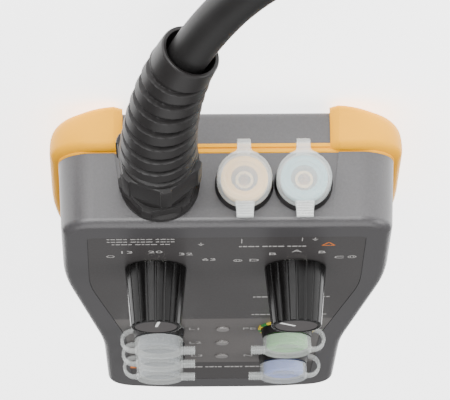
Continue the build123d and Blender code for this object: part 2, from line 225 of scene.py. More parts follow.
def makeBumper():
    f = Finish("bumperAmber", (0.74, 0.33, 0.0), 0.46, Specular_IOR_Level=0.10)
    soft = f.noise(30.0, 3.0, 0.6)
    grain = f.noise(1500.0, 2.0, 0.6)
    marks = (f.noise(160.0, 6.0, 0.75) * 6.0 - 3.9).clamp()        # light scuffs
    body = f.mix(soft, (0.71, 0.315, 0.0, 1), (0.77, 0.345, 0.0, 1))
    f.tint(f.mix(marks * 0.10, body, (0.66, 0.28, 0.01, 1)))
    f.gloss((0.36 + soft * 0.10 + marks * 0.10).clamp())
    f.bump(grain, 0.018 * mm, 0.4)
    return f.material


def makeLabelFilm():
    # satin film: dark field, a lighter printed band across the sockets, a darker strip below it
    f = Finish("labelFilm", (0.025, 0.023, 0.023), 0.38, Specular_IOR_Level=0.35)
    bandTop, bandLow = -4.0 * mm, -68.6 * mm
    y = f.xyz(f.place)[1]
    band = (y < bandTop) * (y > bandLow)
    ground = (y < bandLow)
    matt = f.noise(2400.0, 2.0, 0.5)
    soft = f.noise(25.0, 3.0, 0.5)
    field = f.mix(soft, (0.036, 0.033, 0.033, 1), (0.045, 0.042, 0.042, 1))
    lighter = f.mix(soft, (0.080, 0.073, 0.071, 1), (0.092, 0.085, 0.082, 1))
    darker = f.mix(soft, (0.030, 0.027, 0.027, 1), (0.037, 0.034, 0.034, 1))
    f.tint(f.mix(ground, f.mix(band, field, lighter), darker))
    f.gloss((0.30 + matt * 0.16 + soft * 0.05).clamp())
    f.bump(matt, 0.012 * mm, 0.4)
    return f.material


def makeLeadRubber():
    f = Finish("leadRubber", (0.014, 0.014, 0.014), 0.50, Specular_IOR_Level=0.25)
    talc = f.noise(55.0, 4.0, 0.65)
    grain = f.noise(900.0, 3.0, 0.6)
    f.tint(f.mix(talc, (0.005, 0.005, 0.005, 1), (0.011, 0.010, 0.010, 1)))
    f.gloss((0.38 + talc * 0.18 + grain * 0.08).clamp())
    f.bump(grain, 0.03 * mm, 0.45)
    return f.material


def makeCapClear():
    f = Finish("capClear", (0.80, 0.82, 0.80), 0.34, Alpha=0.27, IOR=1.42, Specular_IOR_Level=0.35)
    cloud = f.noise(90.0, 3.0, 0.6)
    fine = f.noise(700.0, 2.0, 0.5)
    f.tint(f.mix(cloud, (0.66, 0.69, 0.68, 1), (0.78, 0.80, 0.78, 1)))
    f.gloss((0.26 + cloud * 0.12 + fine * 0.08).clamp())
    f.bump(fine, 0.02 * mm, 0.35)
    return f.material


def makeSocket(name, colour, axis, level):
    # black collar; the neck above it is moulded in the circuit's colour
    f = Finish(name, (0.01, 0.01, 0.01), 0.34, Specular_IOR_Level=0.3)
    along = f.xyz(f.place)[axis]
    fine = f.noise(1500.0, 2.0, 0.55)
    neck = (along > level * mm)
    black = f.mix(fine, (0.005, 0.0045, 0.0045, 1), (0.010, 0.009, 0.009, 1))
    paint = f.mix(fine, rgb(colour, 0.88), rgb(colour, 1.08))
    f.tint(f.mix(neck, black, paint))
    f.gloss((0.26 + fine * 0.16).clamp())
    f.bump(fine, 0.015 * mm, 0.4)
    return f.material


def makeEarthRing():
    # yellow ring with green bars
    f = Finish("earthYellow", (0.75, 0.55, 0.02), 0.45)
    x, y, z = f.xyz(f.place)
    centreX, centreY = frontSockets["pe"]
    turn = f.node("ShaderNodeMath", {"operation": "ARCTAN2"}, {0: y - centreY * mm, 1: x - centreX * mm})
    bar = ((turn * 8.0).one("SINE") > 0.25)
    fine = f.noise(1200.0, 2.0, 0.5)
    yellow = f.mix(fine, (0.66, 0.47, 0.015, 1), (0.80, 0.60, 0.03, 1))
    f.tint(f.mix(bar, yellow, (0.035, 0.22, 0.05, 1)))
    f.gloss((0.36 + fine * 0.18).clamp())
    return f.material


def metal(name, colour, rough):
    f = Finish(name, colour, rough, Metallic=1.0)
    lines = f.noise(420.0, 4.0, 0.6)
    stain = f.noise(60.0, 3.0, 0.6)
    f.tint(f.mix(lines * 0.6 + stain * 0.4, rgb(colour, 0.82), rgb(colour, 1.10)))
    f.gloss((rough - 0.10 + lines * 0.20).clamp())
    f.bump(lines, 0.01 * mm, 0.4)
    return f.material


def makeBoard():
    f = Finish("boardGreen", (0.01, 0.12, 0.04), 0.35)
    f.tint(f.node("ShaderNodeTexBrick", {"offset": 0.35}, {
        "Vector": f.place, "Scale": 260.0, "Color1": (0.008, 0.10, 0.03, 1), "Color2": (0.012, 0.13, 0.045, 1),
        "Mortar": (0.03, 0.22, 0.07, 1), "Mortar Size": 0.03}))
    f.gloss((0.28 + f.noise(300.0) * 0.16).clamp())
    return f.material


def makeWires():
    # the cores are told apart by colour across the case
    f = Finish("wireSheath", (0.10, 0.05, 0.02), 0.45)
    across = (f.xyz(f.place)[0] + 26.0 * mm) / (52.0 * mm)
    row = f.node("ShaderNodeValToRGB", {"stops": [
        (0.00, (0.16, 0.06, 0.02, 1)), (0.20, (0.02, 0.02, 0.02, 1)), (0.40, (0.25, 0.25, 0.25, 1)),
        (0.60, (0.02, 0.08, 0.40, 1)), (0.80, (0.35, 0.42, 0.02, 1)), (1.00, (0.45, 0.04, 0.02, 1))]},
        {0: across.clamp()})
    f.tint(f.mix(f.noise(500.0) * 0.2, row, (0.05, 0.05, 0.05, 1)))
    f.gloss((0.34 + f.noise(300.0) * 0.2).clamp())
    return f.material


circuitColour = {
    "l1": (0.030, 0.048, 0.090), "l2": (0.030, 0.048, 0.090), "l3": (0.030, 0.048, 0.090),
    "pe": (0.045, 0.50, 0.015), "n": (0.008, 0.12, 0.70),
    "signal": (0.90, 0.50, 0.02), "signal_earth": (0.09, 0.38, 0.44),
}
finishes = {
    "case_plastic": makeCasePlastic(),
    "bumper": makeBumper(),
    "label_film": makeLabelFilm(),
    "screw_steel": metal("screwSteel", (0.50, 0.49, 0.47), 0.34),
    "nut_nickel": metal("nutNickel", (0.62, 0.60, 0.55), 0.28),
    "black_plastic": moulded("blackPlastic", (0.010, 0.009, 0.009), 0.44),
    "lamp_lens": moulded("lampLens", (0.16, 0.15, 0.145), 0.34, 900.0, 0.01, 0.06, Coat_Weight=0.3),
    "board": makeBoard(),
    "wire_sheath": makeWires(),
    "button_plastic": moulded("buttonPlastic", (0.022, 0.020, 0.020), 0.40),
    "contact_brass": metal("contactBrass", (0.72, 0.50, 0.22), 0.26),
    "insert_grey": moulded("insertGrey", circuitColour["l1"], 0.40),
    "insert_green": moulded("insertGreen", circuitColour["pe"], 0.40),
    "insert_blue": moulded("insertBlue", circuitColour["n"], 0.40),
    "insert_yellow": moulded("insertYellow", circuitColour["signal"], 0.40),
    "insert_teal": moulded("insertTeal", circuitColour["signal_earth"], 0.40),
    "earth_yellow": makeEarthRing(),
    "gland_nylon": moulded("glandNylon", (0.0095, 0.0085, 0.0085), 0.46, 1300.0, 0.035, 0.14,
                           Specular_IOR_Level=0.26),
    "gland_seal": moulded("glandSeal", (0.012, 0.012, 0.012), 0.60),
    "lead_rubber": makeLeadRubber(),
    "plug_plastic": moulded("plugPlastic", (0.014, 0.014, 0.0145), 0.42, 1300.0, 0.035, 0.12),
    "pin_silver": metal("pinSilver", (0.78, 0.77, 0.74), 0.22),
    "knob_gloss": moulded("knobGloss", (0.003, 0.0027, 0.0027), 0.20, 700.0, 0.004, 0.10,
                          Specular_IOR_Level=0.16),
    "knob_cap": moulded("knobCap", (0.050, 0.045, 0.045), 0.48, 1700.0, 0.02),
    "collar_black": moulded("collarBlack", (0.008, 0.0075, 0.0075), 0.34),
    "cap_clear": makeCapClear(),
}
printInk = moulded("printInk", (0.34, 0.33, 0.32), 0.50, 1200.0, 0.004, 0.05)
printOrange = moulded("printOrange", (0.62, 0.15, 0.005), 0.50, 1200.0, 0.004, 0.05)
pointerWhite = moulded("pointerWhite", (0.86, 0.86, 0.85), 0.40, 1200.0, 0.004, 0.03)
print("finishes made:", len(finishes) + 3)


# mesh helpers: shapes are worked in millimetres and stored in metres

def toMesh(name, bm):
    mesh = bpy.data.meshes.new(name)
    bm.to_mesh(mesh)
    bm.free()
    return mesh


def piece(name, mesh, material, body, hides=(), smooth=30.0):
    obj = bpy.data.objects.new(name, mesh)
    bpy.context.scene.collection.objects.link(obj)
    mesh.materials.clear()
    mesh.materials.append(material)
    if smooth:
        mesh.shade_smooth()
        mesh.set_sharp_from_angle(angle=math.radians(smooth))
    if body:
        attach(obj, body)
    if hides:
        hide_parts(*hides)
    return obj


def gridMesh(name, rows, closedRows=True, closedColumns=False, caps=False):
    # rows of points in millimetres, joined into quads; caps close the two end columns
    bm = bmesh.new()
    made = [[bm.verts.new(Vector(p) * mm) for p in row] for row in rows]
    rowCount, columnCount = len(made), len(made[0])
    for i in range(rowCount if closedRows else rowCount - 1):
        for j in range(columnCount if closedColumns else columnCount - 1):
            a, b = made[i], made[(i + 1) % rowCount]
            bm.faces.new((a[j], a[(j + 1) % columnCount], b[(j + 1) % columnCount], b[j]))
    if caps:
        for j in (0, columnCount - 1):
            bm.faces.new([row[j] for row in made])
    bmesh.ops.remove_doubles(bm, verts=bm.verts, dist=0.0008 * mm)
    bmesh.ops.recalc_face_normals(bm, faces=bm.faces)
    return toMesh(name, bm)


def cleaned(mesh, gap):
    # a plain mesh with its doubles merged and its faces turned outwards
    bm = bmesh.new()
    bm.from_mesh(mesh)
    bmesh.ops.remove_doubles(bm, verts=bm.verts, dist=gap * mm)
    bmesh.ops.recalc_face_normals(bm, faces=bm.faces)
    bm.to_mesh(mesh)
    bm.free()
    return mesh


def roundedPath(corners, radii, step=8.0):
    # closed line through the corners, each rounded by its own arc
    points, count = [], len(corners)
    for i, (corner, radius) in enumerate(zip(corners, radii)):
        here = Vector(corner)
        back = (Vector(corners[i - 1]) - here)
        ahead = (Vector(corners[(i + 1) % count]) - here)
        half = back.angle(ahead) / 2
        if radius <= 0 or half > math.pi / 2 - 1e-4:
            points.append(here)
            continue
        reach = radius / math.tan(half)
        start, end = here + back.normalized() * reach, here + ahead.normalized() * reach
        centre = here + (back.normalized() + ahead.normalized()).normalized() * (radius / math.sin(half))
        turn = math.pi - 2 * half
        steps = max(3, int(math.degrees(turn) / step) + 1)
        a0 = math.atan2(start.y - centre.y, start.x - centre.x)
        a1 = math.atan2(end.y - centre.y, end.x - centre.x)
        sweep = (a1 - a0 + math.pi) % (2 * math.pi) - math.pi
        for k in range(steps + 1):
            a = a0 + sweep * k / steps
            points.append(Vector((centre.x + radius * math.cos(a), centre.y + radius * math.sin(a))))
    return points


def mirrored(right, radii):
    left = [(-x, y) for x, y in right]
    return left + right[::-1], list(radii) + list(radii)[::-1]


def resampled(points, gap):
    # even steps round a closed line
    out, count = [], len(points)
    for i in range(count):
        a, b = points[i], points[(i + 1) % count]
        steps = max(1, round((b - a).length / gap))
        out += [a.lerp(b, k / steps) for k in range(steps)]
    return out


def grown(points, out):
    # the line pushed outwards, for counter-clockwise points
    made, count = [], len(points)
    for i in range(count):
        along = points[(i + 1) % count] - points[i - 1]
        normal = Vector((along.y, -along.x)).normalized()
        made.append(points[i] + normal * out)
    return made


sideLine = roundedPath(*mirrored(case["outline"], [0.0, 200.0, 200.0, 13.0, 70.0]), 3.0)


def sideX(y):
    # half-width of the case at y
    best = 0.0
    for a, b in zip(sideLine, sideLine[1:] + sideLine[:1]):
        spans = min(a.y, b.y) - 1e-6 <= y <= max(a.y, b.y) + 1e-6
        if a.x > 0 and b.x > 0 and spans and abs(b.y - a.y) > 1e-6:
            best = max(best, a.x + (b.x - a.x) * (y - a.y) / (b.y - a.y))
    return best


# the lead

lead = {
    "radius": 6.3, "length": 0.3569,
    "route": [
        (-11.3, 200.5, 15.6), (0.7, 226.9, 8.1), (31.0, 259.0, 6.35), (34.4, 301.7, 6.35), (6.9, 341.0, 6.35),
        (-40.4, 357.3, 6.35), (-87.0, 342.2, 6.35), (-114.6, 304.2, 6.35), (-119.6, 268.6, 8.9),
        (-120.2, 250.6, 12.7),
    ],
}


def layLead():
    curve = bpy.data.curves.new("lead_cable", "CURVE")
    curve.dimensions = "3D"
    line = curve.splines.new("NURBS")
    line.points.add(len(lead["route"]) - 1)
    for point, place in zip(line.points, lead["route"]):
        point.co = (*[c * mm for c in place], 1.0)
    line.order_u = 3
    line.use_endpoint_u = True
    line.resolution_u = 24
    curve.bevel_depth = lead["radius"] * mm
    curve.bevel_resolution = 8
    curve.use_fill_caps = True
    obj = bpy.data.objects.new("lead_cable", curve)
    bpy.context.scene.collection.objects.link(obj)
    curve.materials.append(finishes["lead_rubber"])
    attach(obj, "case")
    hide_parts("lead")


layLead()
print("lead laid")


# corner bumpers and the rim strip

bumper = {
    "thick": 3.0, "innerX": 33.5, "top": 16.6, "topRadius": 3.0, "cornerRadius": 15.0, "chamfer": 2.8,
    "backReach": 14.0,          # how far in the rounded back corner reaches along the long sides
    "fullness": 2.8,            # 2 is an ellipse, more is squarer
    "endRadius": 2.5,           # back edge along the gland end
    "liftInner": 1.5, "liftOuter": 1.1,     # the back slopes up this much, from the inner end outwards
    "stopY": 9.0, "backX": 34.0, "liningDepth": 3.3,
}
rim = {"height": 3.3, "depth": 1.6, "groove": 0.5, "grooveDepth": 0.45, "edge": 0.3, "proud": 0.25, "middle": 15.55}


def bumperLevels():
    # (inset along the sides, inset along the end, z) from the top ledge down to the back
    levels, straight = [], bumper["top"] - bumper["topRadius"]
    for k in range(7):
        a = math.pi / 2 * k / 6
        inset = bumper["topRadius"] * (1 - math.sin(a))
        levels.append((inset, inset, straight + bumper["topRadius"] * math.cos(a)))
    for k in range(1, 19):
        a = math.pi / 2 * k / 18
        z = straight * (1 - math.sin(a) ** (2 / bumper["fullness"]))
        side = bumper["backReach"] * (1 - max(0.0, math.cos(a)) ** (2 / bumper["fullness"]))
        low = max(0.0, bumper["endRadius"] - z)
        end = bumper["endRadius"] - math.sqrt(max(0.0, bumper["endRadius"] ** 2 - low ** 2))
        levels.append((side, end, z))
    return levels


def bumperPlan(sideInset, endInset):
    # from the inner end along the gland end, round the corner and down the side
    top, chamfer = case["endY"] + bumper["thick"] - endInset, bumper["chamfer"]
    start = bumper["innerX"]
    points = [Vector((start, top - chamfer - 0.1)), Vector((start + 0.05, top - chamfer)),
              Vector((start + chamfer - 0.1, top - 0.05)), Vector((start + chamfer + 0.05, top))]
    edge = sideX(case["endY"] - 16) + bumper["thick"] - sideInset
    radius = max(1.5, min(bumper["cornerRadius"], edge - 37.5))
    cornerX, cornerY = edge - radius, top - radius
    for k in range(1, 4):
        points.append(Vector((points[3].x + (cornerX - points[3].x) * k / 4, top)))
    lean = sideX(cornerY) + bumper["thick"] - sideInset - edge
    for k in range(15):
        a = math.pi / 2 * k / 14
        points.append(Vector((cornerX + (radius + lean) * math.sin(a), cornerY + radius * math.cos(a))))
    last = bumper["stopY"] + 2.5
    for k in range(1, 25):
        y = cornerY + (last - cornerY) * k / 24
        points.append(Vector((sideX(y) + bumper["thick"] - sideInset, y)))
    points.append(Vector((sideX(last - 1.2) + bumper["thick"] - 0.5 - sideInset, last - 0.7)))
    points.append(Vector((sideX(bumper["stopY"]) + 0.2 - sideInset, bumper["stopY"])))
    return points


def lifted(x, z):
    # the back of the bumper slopes up from its inner end to the long side
    rise = bumper["liftInner"] + bumper["liftOuter"] * min(1.0, max(0.0, (x - bumper["innerX"]) / 13.0))
    return z + rise * max(0.0, 1 - z / 13.6) ** 2


def makeBumperPiece(side):
    rows, levels = [], bumperLevels()
    for sideInset, endInset, z in levels:
        rows.append([(p.x, p.y, z) for p in bumperPlan(sideInset, endInset)])
    outer = rows[-1]
    inner = []
    ends = sum(1 for x, y, z in outer if y > 88)
    for k, (x, y, z) in enumerate(outer):
        if k < ends:
            inner.append((bumper["backX"], 109.0 - 21.0 * k / ends))
        else:
            inner.append((bumper["backX"] + 4.0 * min(1.0, (88 - y) / 12), y))
    rows.append([(x + 0.4, y - 0.1, 0.0) for x, y in inner])
    rows.append([(x, y, 0.4) for x, y in inner])
    rows.append([(x, y, 3.4) for x, y in inner])
    for sideInset, endInset, z in levels[::-1]:
        plan = bumperPlan(sideInset + bumper["liningDepth"], endInset + bumper["liningDepth"])
        rows.append([(max(p.x, bumper["innerX"]), p.y, max(z, 3.4)) for p in plan])
    rows = [[(side * x, y, lifted(x, z)) for x, y, z in row] for row in rows]
    return gridMesh("bumper_right" if side > 0 else "bumper_left", rows, caps=True)


def runTree(name, source, tree, values):
    # puts a geometry tree on an object, applies it and gives the plain mesh
    holder = bpy.data.objects.new(name + "_maker", source)
    bpy.context.scene.collection.objects.link(holder)
    modifier = holder.modifiers.new("make", "NODES")
    modifier.node_group = tree.tree
    for item in tree.tree.interface.items_tree:
        if item.item_type == "SOCKET" and item.in_out == "INPUT" and item.name in values:
            modifier[item.identifier] = values[item.name]
    bpy.context.view_layer.update()
    graph = bpy.context.evaluated_depsgraph_get()
    mesh = bpy.data.meshes.new_from_object(holder.evaluated_get(graph), depsgraph=graph)
    mesh.name = name
    holder.modifiers.clear()
    bpy.data.objects.remove(holder)
    return mesh


class ShapeTree(Tree):
    def __init__(self, name, inputs):
        group = bpy.data.node_groups.new(name, "GeometryNodeTree")
        super().__init__(group)
        group.interface.new_socket("Geometry", in_out="INPUT", socket_type="NodeSocketGeometry")
        for key, (kind, value) in inputs.items():
            made = group.interface.new_socket(key, in_out="INPUT", socket_type=kind)
            if value is not None:
                made.default_value = value
        group.interface.new_socket("Geometry", in_out="OUTPUT", socket_type="NodeSocketGeometry")
        entry = group.nodes.new("NodeGroupInput")
        self.given = {s.name: Link(self, s) for s in entry.outputs if s.name}

    def vector(self, operation, inputs):
        return self.node("ShaderNodeVectorMath", {"operation": operation}, inputs)

    def finish(self, shape, material):
        real = self.node("GeometryNodeRealizeInstances", {}, {0: shape})
        named = self.node("GeometryNodeSetMaterial", {}, {"Geometry": real, "Material": material})
        out = self.tree.nodes.new("NodeGroupOutput")
        self.tree.links.new(named.socket, out.inputs[0])


def lineCurve(name, points, closed=False):
    curve = bpy.data.curves.new(name, "CURVE")
    curve.dimensions = "3D"
    line = curve.splines.new("POLY")
    line.points.add(len(points) - 1)
    for point, place in zip(line.points, points):
        point.co = (*[c * mm for c in place], 1.0)
    line.use_cyclic_u = closed
    return curve


def makeStripTree():
    # sweeps a flat section with one groove round the case
    t = ShapeTree("rimStripTree", {
        "Height": ("NodeSocketFloat", 3.3 * mm), "Depth": ("NodeSocketFloat", 1.6 * mm),
        "Groove": ("NodeSocketFloat", 0.5 * mm), "Groove Depth": ("NodeSocketFloat", 0.4 * mm),
        "Edge": ("NodeSocketFloat", 0.25 * mm)})
    g = t.given
    half, depth, edge = g["Height"] * 0.5, g["Depth"], g["Edge"]
    slot, cut = g["Groove"] * 0.5, g["Groove Depth"]
    soft = edge * 0.6
    outline = [
        (-depth, half), (-edge, half), (0.0, half - edge), (0.0, slot + soft), (-soft, slot), (-cut, slot),
        (-cut, -slot), (-soft, -slot), (0.0, -(slot + soft)), (0.0, edge - half), (-edge, -half), (-depth, -half),
    ]
    ring = t.node("GeometryNodeMeshCircle", {"fill_type": "NONE"}, {"Vertices": len(outline), "Radius": mm})
    index = t.node("GeometryNodeInputIndex")
    place = None
    for k, (out, up) in enumerate(outline):
        here = t.node("ShaderNodeCombineXYZ", {}, {0: out, 1: up, 2: 0.0})
        if place is None:
            place = here
        else:
            place = t.node("ShaderNodeMix", {"data_type": "VECTOR"}, {0: index > (k - 0.5), 4: place, 5: here}, 1)
    section = t.node("GeometryNodeSetPosition", {}, {"Geometry": ring, "Position": place})
    section = t.node("GeometryNodeMeshToCurve", {}, {0: section})
    path = t.node("GeometryNodeSetCurveNormal", {"mode": "Z_UP"}, {0: g["Geometry"]})
    swept = t.node("GeometryNodeCurveToMesh", {}, {"Curve": path, "Profile Curve": section})
    t.finish(swept, finishes["bumper"])
    return t


def makeRim():
    outline = roundedPath(*mirrored(case["outline"], case["radii"]), 4.0)
    outline = grown(resampled(outline, 2.5), rim["proud"])
    limit = case["faceY"] + 0.2
    points = [(p.x, min(p.y, limit), rim["middle"]) for p in outline]
    mesh = runTree("rim_strip", lineCurve("rimLine", points, True), makeStripTree(), {
        "Height": rim["height"] * mm, "Depth": rim["depth"] * mm, "Groove": rim["groove"] * mm,
        "Groove Depth": rim["grooveDepth"] * mm, "Edge": rim["edge"] * mm})
    piece("rim_strip", cleaned(mesh, 0.0008), finishes["bumper"], "case", ["rim_bumper"], 35.0)
    for side, name in ((-1, "bumper_left"), (1, "bumper_right")):
        piece(name, makeBumperPiece(side), finishes["bumper"], "case", ["rim_bumper"], 32.0)


makeRim()
print("rim and bumpers made")


# cable gland: hexagons with raised corner pads, and the spiral bend relief

gland = {
    "across": 24.4, "padAngle": 22.0, "padRise": 0.5, "bodyTurn": 11.0, "nutTurn": -20.5,
    "bore": 6.6, "nutEnd": 144.0, "bendStart": 12.1, "bendEnd": 9.1, "mouthBore": 7.9,
    "turns": 7.6, "gapShare": 0.47, "gapDepth": 2.5, "ringShare": 0.135, "around": 72, "along": 460,
}


def onGland(radius, angle, along):
    # local angle 0 points to the back of the case
    x = glandAxis[0] - radius * math.sin(angle)
    z = glandAxis[1] - radius * math.cos(angle)
    return (x, case["faceY"] + along, z)


def hexAngles():
    pad = gland["padAngle"]
    steps = [-30.0, -pad - 0.9, -pad, -16.0, -8.0, 0.0, 8.0, 16.0, pad, pad + 0.9]
    return [(60.0 * k + s, s) for k in range(6) for s in steps]


def hexRadius(fromFlat):
    radius = gland["across"] / 2 / math.cos(math.radians(min(abs(fromFlat), 24.5)))
    return radius + (gland["padRise"] if abs(fromFlat) > gland["padAngle"] + 0.4 else 0.0)


def hexPiece(name, turn, stations, hides):
    # stations along the axis: "round" has a radius, "hex" a factor, and "cone" cuts the corners to a radius
    rows = []
    for along, kind, value in stations:
        row = []
        for angle, fromFlat in hexAngles():
            corner = hexRadius(fromFlat)
            radius = {"round": value, "hex": corner * value, "cone": min(corner, value)}[kind]
            row.append(onGland(radius, math.radians(angle + turn), along))
        rows.append(row)
    mesh = gridMesh(name, rows, closedColumns=True)
    piece(name, mesh, finishes["gland_nylon"], "case", hides, 28.0)


def reliefLine():
    # the curve on which the relief bends, from the nut to the mouth of the CAD's relief
    a = Vector((glandAxis[0], gland["nutEnd"], glandAxis[1]))
    aim = (Vector(lead["route"][1]) - mouth).normalized()
    b, c = a + Vector((0, 18, 0)), mouth - aim * 20
    points = []
    for k in range(121):
        t = k / 120
        near = a * (1 - t) ** 3 + b * (3 * t * (1 - t) ** 2)
        points.append(near + c * (3 * t * t * (1 - t)) + mouth * t ** 3)
    return lineCurve("reliefLine", points)


def makeReliefTree():
    # a grid is wrapped round the line: out along the ribbed skin and back through the bore
    t = ShapeTree("bendReliefTree", {
        "Start Radius": ("NodeSocketFloat", 12.1 * mm), "End Radius": ("NodeSocketFloat", 8.7 * mm),
        "Bore Start": ("NodeSocketFloat", 6.6 * mm), "Bore End": ("NodeSocketFloat", 7.7 * mm),
        "Turns": ("NodeSocketFloat", 8.0), "Gap Share": ("NodeSocketFloat", 0.36),
        "Gap Depth": ("NodeSocketFloat", 1.5 * mm), "Ring Share": ("NodeSocketFloat", 0.13),
        "Around": ("NodeSocketInt", 72), "Along": ("NodeSocketInt", 460)})
    g = t.given
    columns, rows = g["Around"], g["Along"]
    grid = t.node("GeometryNodeMeshGrid", {}, {
        "Size X": 1.0, "Size Y": 1.0, "Vertices X": rows + 1.0, "Vertices Y": columns + 1.0})
    index = t.node("GeometryNodeInputIndex")
    stride = columns + 1.0
    row = ((index + 0.5) / stride).one("FLOOR")
    column = index - row * stride
    v, u = row / rows, column / columns
    outerPart = 0.86        # share of the grid's rows on the skin; the rest line the bore
    inner = v > (outerPart + 0.0005)
    last = v > 0.9999
    forward = (v / outerPart).clamp()
    home = ((1.0 - v) / (1.0 - outerPart)).clamp()
    along = forward * (1.0 - inner) + home * inner
    angle = u * (2 * math.pi)
    turnPlace = along * g["Turns"] / (1.0 - g["Ring Share"]) - u + 20.0
    phase = turnPlace.one("FRACT")
    rise = ((phase - (1.0 - g["Gap Share"])) / 0.05).clamp()
    fall = ((1.0 - phase) / 0.05).clamp()
    gap = rise * fall
    startMask = ((along - 0.012) / 0.01).clamp()
    endMask = ((1.0 - g["Ring Share"] - along) / 0.004).clamp()
    tongue = ((along - 0.02) * 40.0).clamp()
    ribs = gap * startMask * endMask * tongue
    lip = ((along - 0.985) / 0.015).clamp()
    skin = g["Start Radius"] + (g["End Radius"] - g["Start Radius"]) * along
    skin = skin + (0.45 - phase) * (0.55 * mm) * (1.0 - ribs) * endMask * startMask
    skin = skin - ribs * g["Gap Depth"] * (1.0 - 0.56 * along) - lip * lip * (0.5 * mm)
    bore = g["Bore Start"] + (g["Bore End"] - g["Bore Start"]) * (along * along)
    radius = skin * (1.0 - inner) + bore * inner
    radius = radius * (1.0 - last) + g["Start Radius"] * last
    line = t.node("GeometryNodeSampleCurve", {"mode": "FACTOR"}, {"Curves": g["Geometry"], "Factor": along}, 1)
    outs = line.socket.node.outputs
    place, tangent, normal = (Link(t, outs[i]) for i in (1, 2, 3))
    across = t.vector("CROSS_PRODUCT", {0: tangent, 1: normal})
    first = t.vector("SCALE", {0: normal, "Scale": angle.one("COSINE") * radius})
    second = t.vector("SCALE", {0: across, "Scale": angle.one("SINE") * radius})
    spot = t.vector("ADD", {0: t.vector("ADD", {0: first, 1: second}), 1: place})
    shaped = t.node("GeometryNodeSetPosition", {}, {"Geometry": grid, "Position": spot})
    closed = t.node("GeometryNodeMergeByDistance", {}, {"Geometry": shaped, "Distance": 0.002 * mm})
    t.finish(closed, finishes["gland_nylon"])
    return t


def makeGland():
    bore = gland["bore"]
    hexPiece("gland_base", gland["bodyTurn"], [
        (0.02, "round", 12.5), (0.3, "round", 12.8), (2.6, "round", 12.8), (3.2, "cone", 12.6),
        (4.0, "hex", 0.955), (8.7, "hex", 0.96), (9.2, "hex", 0.945), (9.3, "round", 10.9),
        (17.6, "round", 10.7), (17.6, "round", bore), (0.02, "round", bore)], ["gland_body"])
    hexPiece("gland_dome_nut", gland["nutTurn"], [
        (17.0, "round", 10.9), (17.1, "cone", 12.3), (17.8, "hex", 0.985), (18.4, "hex", 1.0),
        (31.6, "hex", 1.0), (32.2, "hex", 0.98), (32.3, "round", 11.9), (32.5, "round", 11.7),
        (32.5, "round", bore), (17.0, "round", bore)], ["gland_nut"])
    mesh = runTree("bend_relief", reliefLine(), makeReliefTree(), {
        "Start Radius": gland["bendStart"] * mm, "End Radius": gland["bendEnd"] * mm,
        "Bore Start": bore * mm, "Bore End": gland["mouthBore"] * mm, "Turns": gland["turns"],
        "Gap Share": gland["gapShare"], "Gap Depth": gland["gapDepth"] * mm, "Ring Share": gland["ringShare"],
        "Around": gland["around"], "Along": gland["along"]})
    piece("bend_relief", cleaned(mesh, 0.002), finishes["gland_nylon"], "case", ["gland_nut"], 26.0)


makeGland()
print("gland made")


# caps and their straps

cap = {
    "radius": 8.83, "top": 9.5, "skirt": 3.9, "wall": 0.8, "lid": 1.5,
    "tabStart": 8.3, "tabEnd": 13.2, "tabWidth": 5.2, "ribs": 6, "ribPitch": 0.86, "ribRadius": 0.36,
    "strapWidth": 4.4, "strapThick": 1.1, "loopCentre": (9.75, 4.42), "loopRadius": 3.7, "flare": 9.4,
}


def socketPlaces():
    places = {}
    for name, (x, y) in frontSockets.items():
        side = -1.0 if x < 0 else 1.0
        places[name] = ((side, 0, 0), (0, side, 0), (0, 0, 1), (x, y, case["labelTop"]))
    for name, x in endSockets.items():
        places[name] = ((0, 0, -1), (-1, 0, 0), (0, 1, 0), (x, case["faceY"], endSocketZ))
    made = {}
    for name, (xDir, yDir, zDir, origin) in places.items():
        turn = Matrix((xDir, yDir, zDir)).transposed().to_4x4()
        made[name] = Matrix.Translation(Vector(origin) * mm) @ turn
    return made


def ringRows(profile, count=64):
    # turns (radius, height) stations round the local Z axis
    angles = [2 * math.pi * k / count for k in range(count)]
    return [[(r * math.cos(angle), r * math.sin(angle), z) for angle in angles] for r, z in profile]


def makeRibTree():
    # a row of small round bars across a tab
    t = ShapeTree("tabRibTree", {
        "Count": ("NodeSocketInt", 6), "Pitch": ("NodeSocketFloat", 0.86 * mm),
        "Bar Radius": ("NodeSocketFloat", 0.36 * mm), "Bar Length": ("NodeSocketFloat", 5.2 * mm),
        "Height": ("NodeSocketFloat", 8.9 * mm), "Start": ("NodeSocketFloat", -13.0 * mm)})
    g = t.given
    offset = t.node("ShaderNodeCombineXYZ", {}, {0: g["Pitch"], 1: 0.0, 2: 0.0})
    start = t.node("ShaderNodeCombineXYZ", {}, {0: g["Start"], 1: 0.0, 2: g["Height"]})
    line = t.node("GeometryNodeMeshLine", {"mode": "OFFSET"}, {
        "Count": g["Count"], "Start Location": start, "Offset": offset})
    half = g["Bar Length"] * 0.5
    low = t.node("ShaderNodeCombineXYZ", {}, {0: 0.0, 1: -half, 2: 0.0})
    high = t.node("ShaderNodeCombineXYZ", {}, {0: 0.0, 1: half, 2: 0.0})
    path = t.node("GeometryNodeCurvePrimitiveLine", {"mode": "POINTS"}, {"Start": low, "End": high})
    section = t.node("GeometryNodeCurvePrimitiveCircle", {"mode": "RADIUS"}, {
        "Resolution": 12, "Radius": g["Bar Radius"]})
    bar = t.node("GeometryNodeCurveToMesh", {}, {"Curve": path, "Profile Curve": section, "Fill Caps": True})
    row = t.node("GeometryNodeInstanceOnPoints", {}, {"Points": line, "Instance": bar})
    t.finish(row, finishes["cap_clear"])
    return t


